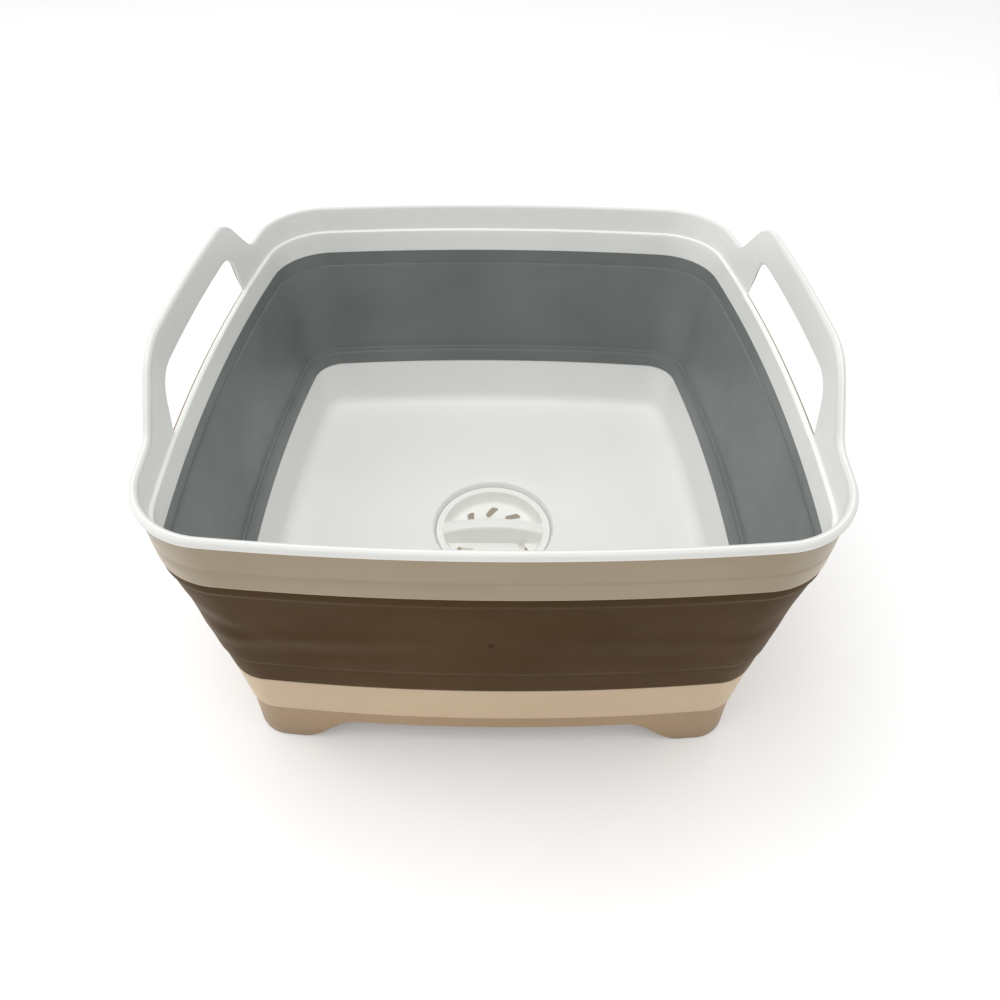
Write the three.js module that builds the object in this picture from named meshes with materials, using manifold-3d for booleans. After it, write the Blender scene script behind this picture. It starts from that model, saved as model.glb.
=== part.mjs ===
// Collapsible wash tub: a stiff frame with two handles, a folding wall and a footed base with a drain.
// Millimetres, +Z up. X runs from handle to handle, the front is -Y, and the feet stand on Z = 0.

import * as THREE from 'three';
import { mergeVertices } from 'three/addons/utils/BufferGeometryUtils.js';
import Module from 'manifold-3d';

// ---------------------------------------------------------------- driving dimensions

const GAP = 0.3; // between pieces that meet

// Plan view of the rim: four bowed sides joined by four corner arcs.
const HALF_X = 150;
const HALF_Y = 145;
const FRONT_RADIUS = 1132;
const SIDE_RADIUS = 913;
const CORNER_RADIUS = 40;
const SIDE_STEPS = 8;
const CORNER_STEPS = 6;

// Levels
const RIM_TOP = 174;
const LEDGE = 158.2; // inner step of the frame, and the bottom of the hand holes
const FRAME_BOTTOM = 143.9;
const FOLD_HIGH = 136;
const FOLD_LOW = 74.5;
const LIP_TOP = 64.6; // inner lip of the base, which the wall laps
const BASE_TOP = 58.2;
const SKIRT_TOP = 28;
const FLOOR = 28.5;
const FLOOR_UNDERSIDE = 25.2;
const ARCH_TOP = 18.2;

// Handles
const HANDLE_TOP = 203.1;
const HANDLE_HALF_TOP = 58;
const HANDLE_HALF_FOOT = 86;
const HANDLE_OUTER = 0;
const HANDLE_INNER = -4;
const HOLE_TOP = 184.9;
const HOLE_HALF_TOP = 55;
const HOLE_HALF_BOTTOM = 62;

// Arches between the feet
const ARCH_HALF_FRONT = 69;
const ARCH_HALF_SIDE = 64;
const FOOT_SLOPE = 25; // how far an arch's S-shaped end runs
const FOOT_SLOPE_STEPS = 6;

// Folding wall
const WALL = 2.2;
const BAND_COUNT = 4;
const FIRST_BAND_OUTER = -6.3; // offset of the uppermost fold band's outer face
const BAND_LAP = 0.8; // each band reaches this far past the line it is cut at

// Drain
const RECESS_RADIUS = 36.8;
const FLANGE_RADIUS = 35;
const FLANGE_TOP = 29.2;
const FLANGE_THICKNESS = 2.2;
const DISH_RADIUS = 28.6;
const DISH_FLOOR = 20.6;
const DISH_WALL = 1.6;
const WELL_RADIUS = 31.4;
const WELL_WALL = 1.8;
const WELL_FLOOR = 10.2;
const OUTLET_RADIUS = 16;
const STOPPER_RADIUS = 20.6;
const SEAL_HEIGHT = 2.6;
const STEM_RADIUS = 5;
const SLOT_COUNT = 9;
const SLOT_START = 14; // degrees
const SLOT_RADIUS = 20.3;
const SLOT_LENGTH = 7.6;
const SLOT_WIDTH = 3.1;
const SLOT_LEAN = 48; // degrees between a slot and its radius
const GRIP_WIDTH = 6.4;
const GRIP_FOOT_WIDTH = 8.6;
const GRIP_RISE = 4.4;

// ---------------------------------------------------------------- materials

const plastic = (color, roughness = 0.35) => new THREE.MeshStandardMaterial({ color, roughness, metalness: 0 });
const white = plastic(0xe9eae4);
const drainWhite = plastic(0xe4e5df, 0.4);
const grey = plastic(0x6c716f, 0.55);
const silicone = plastic(0xc9cbc6, 0.6);

// ---------------------------------------------------------------- solids

const wasm = await Module();
wasm.setup();

function toSolid(geometry) {
  const bare = geometry.clone();
  bare.deleteAttribute('normal');
  bare.deleteAttribute('uv');
  const merged = mergeVertices(bare, 1e-4);
  return new wasm.Manifold(new wasm.Mesh({
    numProp: 3,
    vertProperties: new Float32Array(merged.attributes.position.array),
    triVerts: new Uint32Array(merged.index.array),
  }));
}

function toGeometry(solid) {
  const mesh = solid.getMesh();
  const geometry = new THREE.BufferGeometry();
  geometry.setAttribute('position', new THREE.BufferAttribute(new Float32Array(mesh.vertProperties), 3));
  geometry.setIndex(new THREE.BufferAttribute(new Uint32Array(mesh.triVerts), 1));
  geometry.computeVertexNormals();
  return geometry;
}

// ---------------------------------------------------------------- plan outline

// The corner arc touches both side arcs from inside, so its centre lies on two circles round their centres.
function cornerCentre() {
  const frontY = HALF_Y - FRONT_RADIUS;
  const sideX = HALF_X - SIDE_RADIUS;
  const toFront = FRONT_RADIUS - CORNER_RADIUS;
  const toSide = SIDE_RADIUS - CORNER_RADIUS;
  const apart = Math.hypot(sideX, frontY);
  const along = (toFront ** 2 - toSide ** 2 + apart ** 2) / (2 * apart);
  const across = Math.sqrt(toFront ** 2 - along ** 2);
  const unit = new THREE.Vector2(sideX, -frontY).divideScalar(apart);
  return new THREE.Vector2(unit.x * along + unit.y * across, frontY + unit.y * along - unit.x * across);
}

// One station for each step round the outline: an arc's centre, its radius at offset 0, and the angle.
function makeStations() {
  const corner = cornerCentre();
  const sideAngle = Math.atan2(corner.y, corner.x - (HALF_X - SIDE_RADIUS));
  const cornerAngle = Math.atan2(corner.y - (HALF_Y - FRONT_RADIUS), corner.x);
  const stations = [];
  const addArc = (x, y, radius, from, to, steps) => {
    for (let i = 0; i < steps; i++) {
      stations.push({ x, y, radius, angle: from + ((to - from) * i) / steps });
    }
  };
  const sideX = HALF_X - SIDE_RADIUS;
  const frontY = HALF_Y - FRONT_RADIUS;
  const turn = Math.PI;
  addArc(sideX, 0, SIDE_RADIUS, -sideAngle, sideAngle, SIDE_STEPS);
  addArc(corner.x, corner.y, CORNER_RADIUS, sideAngle, cornerAngle, CORNER_STEPS);
  addArc(0, frontY, FRONT_RADIUS, cornerAngle, turn - cornerAngle, SIDE_STEPS);
  addArc(-corner.x, corner.y, CORNER_RADIUS, turn - cornerAngle, turn - sideAngle, CORNER_STEPS);
  addArc(-sideX, 0, SIDE_RADIUS, turn - sideAngle, turn + sideAngle, SIDE_STEPS);
  addArc(-corner.x, -corner.y, CORNER_RADIUS, turn + sideAngle, turn + cornerAngle, CORNER_STEPS);
  addArc(0, -frontY, FRONT_RADIUS, turn + cornerAngle, 2 * turn - cornerAngle, SIDE_STEPS);
  addArc(corner.x, -corner.y, CORNER_RADIUS, 2 * turn - cornerAngle, 2 * turn - sideAngle, CORNER_STEPS);
  return stations;
}

const stations = makeStations();

function outlinePoint(station, offset) {
  const reach = station.radius + offset;
  return [station.x + reach * Math.cos(station.angle), station.y + reach * Math.sin(station.angle)];
}

// A lathe's profile of [offset from the rim outline, level] bent round the outline instead of a circle.
// A point [offset, level, share] is drawn in towards the centre, so share 0 lies on the axis.
// Profiles run up the outside and down the inside.
function ringAround(profile, closed = true) {
  const points = closed ? [...profile, profile[0]] : profile;
  const lathe = new THREE.LatheGeometry(points.map(([, level]) => new THREE.Vector2(1, level)), stations.length);
  const position = lathe.attributes.position;
  for (let i = 0; i <= stations.length; i++) {
    const station = stations[i % stations.length];
    points.forEach(([offset, level, share = 1], j) => {
      const [x, y] = outlinePoint(station, offset);
      position.setXYZ(i * points.length + j, x * share, y * share, level);
    });
  }
  return lathe;
}

// ---------------------------------------------------------------- flat outlines

// A closed shape whose corners [x, y, trim] are cut back by trim and rounded.
function roundedShape(corners, steps = 4) {
  const outline = [];
  corners.forEach(([x, y, trim = 0], i) => {
    const corner = new THREE.Vector2(x, y);
    if (trim === 0) {
      outline.push(corner);
      return;
    }
    const before = new THREE.Vector2(...corners[(i + corners.length - 1) % corners.length]);
    const after = new THREE.Vector2(...corners[(i + 1) % corners.length]);
    const start = corner.clone().add(before.sub(corner).setLength(trim));
    const end = corner.clone().add(after.sub(corner).setLength(trim));
    outline.push(...new THREE.QuadraticBezierCurve(start, corner, end).getPoints(steps));
  });
  return new THREE.Shape(outline);
}

const extrude = (shape, depth) => new THREE.ExtrudeGeometry(shape, { depth, bevelEnabled: false, curveSegments: 8 });

// A shape drawn in Y (across) and Z (up), extruded right through the tub along X.
function alongX(shape) {
  const geometry = extrude(shape, 2 * HALF_X + 20);
  geometry.rotateX(Math.PI / 2);
  geometry.rotateZ(Math.PI / 2);
  geometry.translate(-HALF_X - 10, 0, 0);
  return toSolid(geometry);
}

// A shape drawn in X (across) and Z (up), extruded right through the tub along Y.
function alongY(shape) {
  const geometry = extrude(shape, 2 * HALF_Y + 20);
  geometry.rotateX(Math.PI / 2);
  geometry.translate(0, HALF_Y + 10, 0);
  return toSolid(geometry);
}

// A lathe about Z of [radius, level] points.
function turned(profile, steps = 36) {
  const lathe = new THREE.LatheGeometry(profile.map(([r, z]) => new THREE.Vector2(r, z)), steps);
  return toSolid(lathe.rotateX(Math.PI / 2));
}

// ---------------------------------------------------------------- frame with handles

function rimFrame() {
  const ring = toSolid(ringAround([
    [-3.2, FRAME_BOTTOM],
    [-1.5, RIM_TOP - 4.4],
    [-0.2, RIM_TOP - 3.6],
    [0, RIM_TOP - 2],
    [-0.7, RIM_TOP - 0.5],
    [-1.9, RIM_TOP],
    [-3.3, RIM_TOP - 0.5],
    [-3.9, RIM_TOP - 1.9],
    [-4.2, LEDGE + 0.3],
    [-5.4, LEDGE],
    [-5.8, LEDGE - 0.5],
    [-6, FRAME_BOTTOM],
  ]));
  const foot = RIM_TOP - 0.3;
  const handleShape = roundedShape([
    [-110, LEDGE + 4],
    [110, LEDGE + 4],
    [110, foot],
    [HANDLE_HALF_FOOT, foot, 8],
    [HANDLE_HALF_TOP, HANDLE_TOP, 13],
    [-HANDLE_HALF_TOP, HANDLE_TOP, 13],
    [-HANDLE_HALF_FOOT, foot, 8],
    [-110, foot],
  ]);
  const plate = toSolid(ringAround([
    [HANDLE_OUTER, LEDGE + 3],
    [HANDLE_OUTER, HANDLE_TOP + 5],
    [HANDLE_INNER, HANDLE_TOP + 5],
    [HANDLE_INNER, LEDGE + 3],
  ]));
  const handHole = roundedShape([
    [-HOLE_HALF_BOTTOM, LEDGE],
    [HOLE_HALF_BOTTOM, LEDGE],
    [HOLE_HALF_TOP, HOLE_TOP, 12],
    [-HOLE_HALF_TOP, HOLE_TOP, 12],
  ]);
  return ring.add(plate.intersect(alongX(handleShape))).subtract(alongX(handHole));
}

// ---------------------------------------------------------------- folding wall

// The wall is one soft moulding. It is cut into upright rings where it bends, and each ring nests
// inside the one above, so the rings can pass each other as the middle of the wall turns inside out.
const upperBand = ringAround([
  [-3.2, FRAME_BOTTOM - GAP],
  [-6, FRAME_BOTTOM - GAP],
  [-6, FOLD_HIGH - 2],
  [-3.8, FOLD_HIGH - 2],
]);

function foldBand(index) {
  const height = (FOLD_HIGH - FOLD_LOW) / BAND_COUNT;
  const bottom = FOLD_LOW + index * height - BAND_LAP;
  const top = FOLD_LOW + (index + 1) * height + BAND_LAP;
  const outer = FIRST_BAND_OUTER - (BAND_COUNT - 1 - index) * (WALL + GAP);
  return ringAround([
    [outer, bottom],
    [outer, top],
    [outer - WALL, top],
    [outer - WALL, bottom],
  ]);
}

const lowerBandOuter = FIRST_BAND_OUTER - BAND_COUNT * (WALL + GAP);
const lowerBand = ringAround([
  [lowerBandOuter - 0.6, BASE_TOP + GAP],
  [lowerBandOuter, FOLD_LOW],
  [lowerBandOuter - 0.8, FOLD_LOW + 0.8],
  [-19.4, FOLD_LOW],
  [-21.3, LIP_TOP + GAP],
  [-18.5, LIP_TOP + GAP],
  [-18.5, BASE_TOP + GAP],
]);

// ---------------------------------------------------------------- base tray

// The archway between two feet, whose ends come down to the feet in a half cosine wave.
function archShape(half) {
  const side = [];
  for (let i = 0; i <= FOOT_SLOPE_STEPS; i++) {
    const share = i / FOOT_SLOPE_STEPS;
    side.push([half + share * FOOT_SLOPE, (ARCH_TOP * (1 + Math.cos(Math.PI * share))) / 2]);
  }
  const below = [half + FOOT_SLOPE, -5];
  const right = [...side, below];
  const left = [...right].reverse().map(([x, y]) => [-x, y]);
  return roundedShape([...left, ...right].reverse());
}

function baseTray() {
  const body = toSolid(ringAround([
    [-25, FLOOR_UNDERSIDE, 0],
    [-25, FLOOR_UNDERSIDE],
    [-24.8, 1],
    [-24.2, 0],
    [-22.2, 0],
    [-21.5, 1.2],
    [-21, SKIRT_TOP - 0.4],
    [-20.2, SKIRT_TOP + 0.6],
    [-17, BASE_TOP],
    [-18.8, BASE_TOP],
    [-18.8, LIP_TOP],
    [-21.3, LIP_TOP],
    [-23.8, 38],
    [-26, 32],
    [-31, FLOOR + 0.6],
    [-40, FLOOR],
    [-40, FLOOR, 0],
  ], false));
  const drainHole = turned([
    [0, FLOOR_UNDERSIDE - 2],
    [WELL_RADIUS + WELL_WALL + GAP, FLOOR_UNDERSIDE - 2],
    [WELL_RADIUS + WELL_WALL + GAP, FLANGE_TOP - FLANGE_THICKNESS - GAP],
    [RECESS_RADIUS, FLANGE_TOP - FLANGE_THICKNESS - GAP],
    [RECESS_RADIUS + 1.6, FLOOR + 1],
    [0, FLOOR + 1],
  ]);
  return body
    .subtract(drainHole)
    .subtract(alongY(archShape(ARCH_HALF_FRONT)))
    .subtract(alongX(archShape(ARCH_HALF_SIDE)));
}

// ---------------------------------------------------------------- drain

function drainWell() {
  const outside = WELL_RADIUS + WELL_WALL;
  return turned([
    [OUTLET_RADIUS, WELL_FLOOR - 2],
    [outside - 2, WELL_FLOOR - 2],
    [outside, WELL_FLOOR],
    [outside, FLOOR_UNDERSIDE - GAP - 1.8],
    [outside + 4, FLOOR_UNDERSIDE - GAP - 1.8],
    [outside + 4, FLOOR_UNDERSIDE - GAP],
    [outside, FLOOR_UNDERSIDE - GAP],
    [outside, FLANGE_TOP - FLANGE_THICKNESS - GAP],
    [WELL_RADIUS, FLANGE_TOP - FLANGE_THICKNESS - GAP],
    [WELL_RADIUS, WELL_FLOOR],
    [OUTLET_RADIUS, WELL_FLOOR],
    [OUTLET_RADIUS, WELL_FLOOR - 2],
  ]);
}

// One comma-shaped water slot, leaning across its radius.
function slotCutter(index) {
  const angle = THREE.MathUtils.degToRad(SLOT_START + (index * 360) / SLOT_COUNT);
  const half = SLOT_LENGTH / 2;
  const wide = SLOT_WIDTH / 2;
  const shape = roundedShape([
    [-half, -wide * 0.8, 1.1],
    [half, -wide, 1.4],
    [half, wide, 1.4],
    [-half, wide * 0.8, 1.1],
  ], 2);
  const geometry = extrude(shape, DISH_WALL + 2);
  geometry.rotateZ(angle - THREE.MathUtils.degToRad(SLOT_LEAN));
  geometry.translate(SLOT_RADIUS * Math.cos(angle), SLOT_RADIUS * Math.sin(angle), DISH_FLOOR - DISH_WALL - 1);
  return toSolid(geometry);
}

// The finger bar: an arched bar from side to side of the dish, a little wider where it meets the flange.
function gripBar() {
  const reach = DISH_RADIUS + 0.8;
  const side = roundedShape([
    [-reach, DISH_FLOOR - 0.5],
    [reach, DISH_FLOOR - 0.5],
    [reach, FLANGE_TOP - 0.4],
    [0, FLANGE_TOP + 2 * GRIP_RISE, reach * 0.96],
    [-reach, FLANGE_TOP - 0.4],
  ], 8);
  const plan = roundedShape([
    [-reach, -GRIP_FOOT_WIDTH / 2],
    [0, -GRIP_WIDTH / 2 + 0.8, reach * 0.6],
    [reach, -GRIP_FOOT_WIDTH / 2],
    [reach, GRIP_FOOT_WIDTH / 2],
    [0, GRIP_WIDTH / 2 - 0.8, reach * 0.6],
    [-reach, GRIP_FOOT_WIDTH / 2],
  ], 6);
  return alongY(side).intersect(toSolid(extrude(plan, RIM_TOP)));
}

function drainStrainer() {
  const underFlange = FLANGE_TOP - FLANGE_THICKNESS;
  let strainer = turned([
    [0, DISH_FLOOR - DISH_WALL],
    [DISH_RADIUS + DISH_WALL - 1, DISH_FLOOR - DISH_WALL],
    [DISH_RADIUS + DISH_WALL, DISH_FLOOR - DISH_WALL + 1],
    [DISH_RADIUS + DISH_WALL, underFlange],
    [FLANGE_RADIUS - 0.5, underFlange],
    [FLANGE_RADIUS, underFlange + 0.6],
    [FLANGE_RADIUS, FLANGE_TOP - 0.8],
    [FLANGE_RADIUS - 0.8, FLANGE_TOP],
    [DISH_RADIUS + 1.6, FLANGE_TOP],
    [DISH_RADIUS + 0.4, FLANGE_TOP - 1],
    [DISH_RADIUS - 1.4, DISH_FLOOR + 1],
    [DISH_RADIUS - 2.4, DISH_FLOOR],
    [0, DISH_FLOOR],
  ]);
  for (let i = 0; i < SLOT_COUNT; i++) {
    strainer = strainer.subtract(slotCutter(i));
  }
  return strainer.add(gripBar());
}

// A stem and disc under the dish, which carry the seal.
function drainStopper() {
  const discBottom = WELL_FLOOR + SEAL_HEIGHT + 2 * GAP;
  const hub = OUTLET_RADIUS - 2;
  return turned([
    [0, discBottom - 3],
    [hub - 1, discBottom - 3],
    [hub, discBottom - 2],
    [hub, discBottom],
    [STOPPER_RADIUS, discBottom],
    [STOPPER_RADIUS, discBottom + 1.6],
    [STEM_RADIUS, discBottom + 2],
    [STEM_RADIUS, DISH_FLOOR - DISH_WALL - GAP],
    [0, DISH_FLOOR - DISH_WALL - GAP],
  ]);
}

function drainSeal() {
  const bottom = WELL_FLOOR + GAP;
  return turned([
    [OUTLET_RADIUS - 1.7, bottom + 0.4],
    [OUTLET_RADIUS + 1.2, bottom],
    [STOPPER_RADIUS - 1, bottom],
    [STOPPER_RADIUS, bottom + 1],
    [STOPPER_RADIUS, bottom + SEAL_HEIGHT],
    [OUTLET_RADIUS - 1.7, bottom + SEAL_HEIGHT],
    [OUTLET_RADIUS - 1.7, bottom + 0.4],
  ]);
}

// ---------------------------------------------------------------- assembly

const tub = new THREE.Group();

function addPiece(name, geometry, material) {
  const mesh = new THREE.Mesh(geometry, material.clone());
  mesh.name = name;
  tub.add(mesh);
}

addPiece('rim_frame', toGeometry(rimFrame()), white);
addPiece('wall_upper_band', upperBand, grey);
for (let i = 0; i < BAND_COUNT; i++) {
  addPiece(`wall_fold_band_${i + 1}`, foldBand(i), grey);
}
addPiece('wall_lower_band', lowerBand, grey);
addPiece('base_tray', toGeometry(baseTray()), white);
addPiece('drain_well', toGeometry(drainWell()), drainWhite);
addPiece('drain_strainer', toGeometry(drainStrainer()), drainWhite);
addPiece('drain_stopper', toGeometry(drainStopper()), drainWhite);
addPiece('drain_seal', toGeometry(drainSeal()), silicone);

export default tub;
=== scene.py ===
"""A collapsible wash tub: white frame with handles, grey folding wall, white footed base, lift-out plug.

Geometry is worked out in millimetres and turned into metres when a mesh is made.
"""

import math

import bmesh
import bpy
import numpy as np
from mathutils import Matrix, Vector


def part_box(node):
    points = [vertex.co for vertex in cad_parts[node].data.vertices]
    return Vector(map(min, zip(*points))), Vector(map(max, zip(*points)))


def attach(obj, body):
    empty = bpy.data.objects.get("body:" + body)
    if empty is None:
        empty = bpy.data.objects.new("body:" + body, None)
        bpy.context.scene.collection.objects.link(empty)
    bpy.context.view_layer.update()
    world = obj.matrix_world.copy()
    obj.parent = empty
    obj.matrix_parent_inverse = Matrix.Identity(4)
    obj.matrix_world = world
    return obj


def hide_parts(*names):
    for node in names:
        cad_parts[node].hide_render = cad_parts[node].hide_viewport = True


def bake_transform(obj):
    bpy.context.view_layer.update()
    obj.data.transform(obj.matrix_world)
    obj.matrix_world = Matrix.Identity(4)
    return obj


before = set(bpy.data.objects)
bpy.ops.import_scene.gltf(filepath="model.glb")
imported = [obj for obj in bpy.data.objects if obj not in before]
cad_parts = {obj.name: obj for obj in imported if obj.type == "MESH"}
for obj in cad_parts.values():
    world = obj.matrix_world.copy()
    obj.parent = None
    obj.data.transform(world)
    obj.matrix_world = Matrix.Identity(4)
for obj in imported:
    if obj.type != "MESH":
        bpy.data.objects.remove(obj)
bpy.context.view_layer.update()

# ------------------------------------------------------------------ sizes, in millimetres

MM = 0.001


def node_box(node):
    """The lowest and highest corners of a CAD node, in millimetres."""
    low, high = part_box(node)
    return low / MM, high / MM


# Plan of the rim: four bowed sides joined by four corner arcs.
RIM_LOW, RIM_HIGH = node_box("rim_frame")
HALF_X, HALF_Y = RIM_HIGH.x, RIM_HIGH.y
FRONT_RADIUS = 1132
SIDE_RADIUS = 913
CORNER_RADIUS = 40

# Levels
HANDLE_TOP = RIM_HIGH.z
HANDLE_RISE = 29.1
RIM_TOP = HANDLE_TOP - HANDLE_RISE
LEDGE = RIM_TOP - 15.8
STEP = RIM_TOP - 19.4
FRAME_BOTTOM = RIM_LOW.z
FOLD_HIGH = node_box("wall_upper_band")[0].z + 2
FOLD_LOW = node_box("wall_lower_band")[1].z - 0.8
WALL_BOTTOM = node_box("wall_lower_band")[0].z - 0.3
LIP_TOP = node_box("base_tray")[1].z
BASE_TOP = WALL_BOTTOM
SKIRT_TOP = 28
FLOOR = 30.8
FLOOR_UNDERSIDE = 25.2
ARCH_TOP = 17.4

# Handles and hand holes
HANDLE_HALF_TOP = 58
HANDLE_HALF_FOOT = 86
HANDLE_TRIM = 13
HANDLE_FOOT_TRIM = 6
HOLE_TOP = HANDLE_TOP - 18.2
HOLE_HALF_TOP = 55
HOLE_HALF_BOTTOM = 62
HOLE_TRIM = 12
HOLE_FOOT_TRIM = 1.6
BEAD_HEIGHT = 4.5

# Arches between the feet
ARCH_HALF_FRONT = 68
ARCH_HALF_SIDE = 63
FOOT_SLOPE = 29

# Drain
STRAINER_LOW, STRAINER_HIGH = node_box("drain_strainer")
FLANGE_RADIUS = STRAINER_HIGH.x
FLANGE_TOP = 27.8
FLANGE_BOTTOM = 26.2
RECESS_LEVEL = 25.9
RECESS_RADIUS = 35.5
RECESS_SLOPE = 1.8
WELL_HOLE_RADIUS = 33.5
WELL_WALL = 1.8
OUTLET_RADIUS = 16
DISH_RADIUS = 30.3
DISH_WALL = 0.8
DISH_FLOOR = 19.8
DISH_UNDERSIDE = STRAINER_LOW.z
DISH_FLAT_RADIUS = 26.6
SLOT_COUNT = 9
SLOT_START = 14
SLOT_RADIUS = 20.3
SLOT_LENGTH = 10.2
SLOT_WIDTH = 4.2
SLOT_LEAN = 38
SLOT_ROUND = 0.45
SLOT_TAPER = 0.85
SLOT_BEND = 0.06
SLOT_SHIFT = 0.5
GRIP_WIDTH = 7
GRIP_FOOT_WIDTH = 9
GRIP_SPREAD = 0.6
GRIP_DROP = 1.3

STOPPER_HUB_RADIUS = 14
STEM_RADIUS = 5

# Distances between a mesh's columns of points, at the corners and along the sides
FRAME_STEPS = (2.2, 5)
WALL_STEPS = (1.8, 3.5)
BASE_STEPS = (2, 2.5)


# ------------------------------------------------------------------ the plan outline


class Outline:
    """A closed line of eight arcs that starts at the middle of the back, anticlockwise from above. An offset
    changes every radius alike."""

    def __init__(self):
        front_y = HALF_Y - FRONT_RADIUS
        side_x = HALF_X - SIDE_RADIUS
        to_front = FRONT_RADIUS - CORNER_RADIUS
        to_side = SIDE_RADIUS - CORNER_RADIUS
        apart = math.hypot(side_x, front_y)
        along = (to_front**2 - to_side**2 + apart**2) / (2 * apart)
        across = math.sqrt(to_front**2 - along**2)
        ux, uy = side_x / apart, -front_y / apart
        corner_x = ux * along + uy * across
        corner_y = front_y + uy * along - ux * across
        side_angle = math.atan2(corner_y, corner_x - side_x)
        corner_angle = math.atan2(corner_y - front_y, corner_x)
        half, turn = math.pi / 2, math.pi
        arcs = [
            (0, front_y, FRONT_RADIUS, half, turn - corner_angle),
            (-corner_x, corner_y, CORNER_RADIUS, turn - corner_angle, turn - side_angle),
            (-side_x, 0, SIDE_RADIUS, turn - side_angle, turn + side_angle),
            (-corner_x, -corner_y, CORNER_RADIUS, turn + side_angle, turn + corner_angle),
            (0, -front_y, FRONT_RADIUS, turn + corner_angle, 2 * turn - corner_angle),
            (corner_x, -corner_y, CORNER_RADIUS, 2 * turn - corner_angle, 2 * turn - side_angle),
            (side_x, 0, SIDE_RADIUS, 2 * turn - side_angle, 2 * turn + side_angle),
            (corner_x, corner_y, CORNER_RADIUS, 2 * turn + side_angle, 2 * turn + corner_angle),
            (0, front_y, FRONT_RADIUS, 2 * turn + corner_angle, 2 * turn + half),
        ]
        self.arcs = np.array(arcs)
        lengths = self.arcs[:, 2] * (self.arcs[:, 4] - self.arcs[:, 3])
        self.starts = np.concatenate([[0], np.cumsum(lengths)])
        self.length = self.starts[-1]
        self.left, self.front, self.right = (self.middle(arc) for arc in (2, 4, 6))

    def middle(self, arc):
        return (self.starts[arc] + self.starts[arc + 1]) / 2

    def angles(self, s):
        """The direction that the outline faces, and the arc, at each length s along it."""
        s = np.mod(np.asarray(s, float), self.length)
        arc = np.clip(np.searchsorted(self.starts, s, side="right") - 1, 0, len(self.arcs) - 1)
        return self.arcs[arc, 3] + (s - self.starts[arc]) / self.arcs[arc, 2], arc

    def points(self, s, offset):
        angle, arc = self.angles(s)
        reach = self.arcs[arc, 2] + offset
        return np.stack(
            [self.arcs[arc, 0] + reach * np.cos(angle), self.arcs[arc, 1] + reach * np.sin(angle)], -1
        )

    def stations(self, corner_step, side_step):
        """Lengths along the outline at which a mesh gets a column of points."""
        found = []
        for k, arc in enumerate(self.arcs):
            step = corner_step if arc[2] == CORNER_RADIUS else side_step
            start, end = self.starts[k], self.starts[k + 1]
            found.append(np.linspace(start, end, max(2, round((end - start) / step) + 1))[:-1])
        return np.concatenate(found)


outline = Outline()


# ------------------------------------------------------------------ mesh helpers


def smoothstep(t):
    t = np.clip(t, 0, 1)
    return t * t * (3 - 2 * t)


def finish_mesh(name, bm, materials, smooth_angle=35):
    """Turns a bmesh in millimetres into an object in metres, smooth apart from its sharp edges."""
    bmesh.ops.scale(bm, vec=(MM, MM, MM), verts=bm.verts)
    bmesh.ops.recalc_face_normals(bm, faces=bm.faces)
    mesh = bpy.data.meshes.new(name)
    bm.to_mesh(mesh)
    bm.free()
    obj = bpy.data.objects.new(name, mesh)
    bpy.context.scene.collection.objects.link(obj)
    for material in materials:
        mesh.materials.append(material)
    mesh.shade_smooth()
    mesh.set_sharp_from_angle(angle=math.radians(smooth_angle))
    return obj


def grid_mesh(bm, points, close_rows=True, close_columns=True, material=None):
    """Quads over an array of points [row, column, xyz]; material gives a slot for each row of faces."""
    rows, columns = points.shape[:2]
    verts = [[bm.verts.new(points[r, c]) for c in range(columns)] for r in range(rows)]
    for r in range(rows if close_rows else rows - 1):
        for c in range(columns if close_columns else columns - 1):
            r2, c2 = (r + 1) % rows, (c + 1) % columns
            face = bm.faces.new((verts[r][c], verts[r][c2], verts[r2][c2], verts[r2][c]))
            if material is not None:
                face.material_index = material[r]
    return verts


def turned(bm, profile, steps=120, closed=True):
    """A profile of (radius, level) turned about the Z axis."""
    angle = np.linspace(0, 2 * math.pi, steps, endpoint=False)
    radius, level = np.array(profile, float).T
    points = np.stack(
        [
            radius[:, None] * np.cos(angle),
            radius[:, None] * np.sin(angle),
            np.repeat(level[:, None], steps, 1),
        ],
        -1,
    )
    return grid_mesh(bm, points, close_rows=closed)


def rounded_loop(corners, steps=10):
    """A closed loop of points whose corners (x, y, trim) are cut back by trim and rounded."""
    found = []
    for i, (x, y, trim) in enumerate(corners):
        corner = np.array([x, y], float)
        if trim == 0:
            found.append(corner)
            continue
        before = np.array(corners[i - 1][:2], float) - corner
        after = np.array(corners[(i + 1) % len(corners)][:2], float) - corner
        start = corner + before / np.linalg.norm(before) * trim
        end = corner + after / np.linalg.norm(after) * trim
        for t in np.linspace(0, 1, steps + 1):
            found.append((1 - t) ** 2 * start + 2 * t * (1 - t) * corner + t * t * end)
    return np.array(found)


def inset_loop(loop, distance):
    """A closed counter-clockwise loop moved to its left, by mitred corners."""
    ahead = np.roll(loop, -1, 0) - loop
    ahead /= np.linalg.norm(ahead, axis=1)[:, None]
    normal = np.stack([-ahead[:, 1], ahead[:, 0]], -1)
    mitre = normal + np.roll(normal, 1, 0)
    mitre /= np.maximum(np.linalg.norm(mitre, axis=1)[:, None], 1e-9)
    stretch = np.maximum((mitre * normal).sum(1), 0.4)
    return loop + mitre * (distance / stretch)[:, None]


def distance_to(points, loop, closed=True):
    """The distance from each point to a line of points."""
    start = loop if closed else loop[:-1]
    end = np.roll(loop, -1, 0) if closed else loop[1:]
    best = np.full(len(points), np.inf)
    for a, b in zip(start, end):
        along = b - a
        t = np.clip(((points - a) @ along) / max(along @ along, 1e-12), 0, 1)
        best = np.minimum(best, np.linalg.norm(points - a - t[:, None] * along, axis=1))
    return best


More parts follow.
